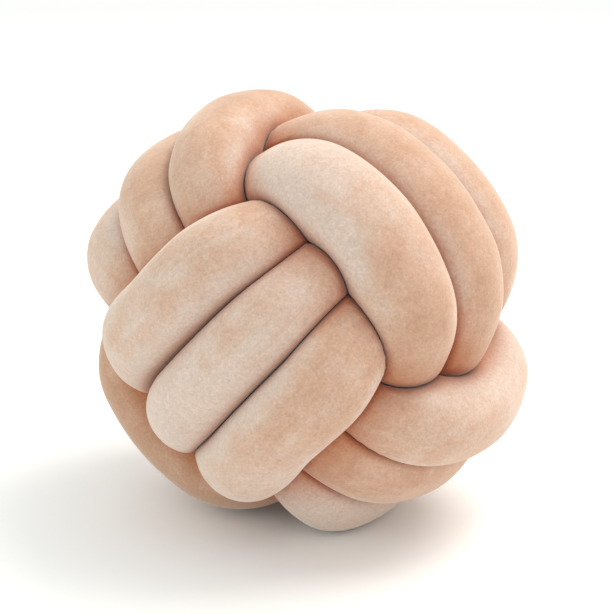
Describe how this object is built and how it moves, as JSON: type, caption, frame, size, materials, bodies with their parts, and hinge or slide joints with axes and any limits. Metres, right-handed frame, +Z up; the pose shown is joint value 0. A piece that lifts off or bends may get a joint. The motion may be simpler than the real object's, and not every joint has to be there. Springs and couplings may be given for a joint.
{
  "type": "knot cushion",
  "caption": "Ball-shaped floor and sofa cushion made of one stuffed velvet tube tied in a monkey's fist knot.",
  "frame": {"origin": "on the surface that the cushion rests on, under the middle of its bounding box", "axes": "+Z up; -Y is the side that shows the three front strands, the view from azimuth 0"},
  "size_m": [0.3486, 0.3505, 0.3323],
  "materials": {
    "velvet": "short dense pile with a soft sheen"
  },
  "bodies": {
    "root": {"knot_tube": "velvet"}
  },
  "joints": []
}
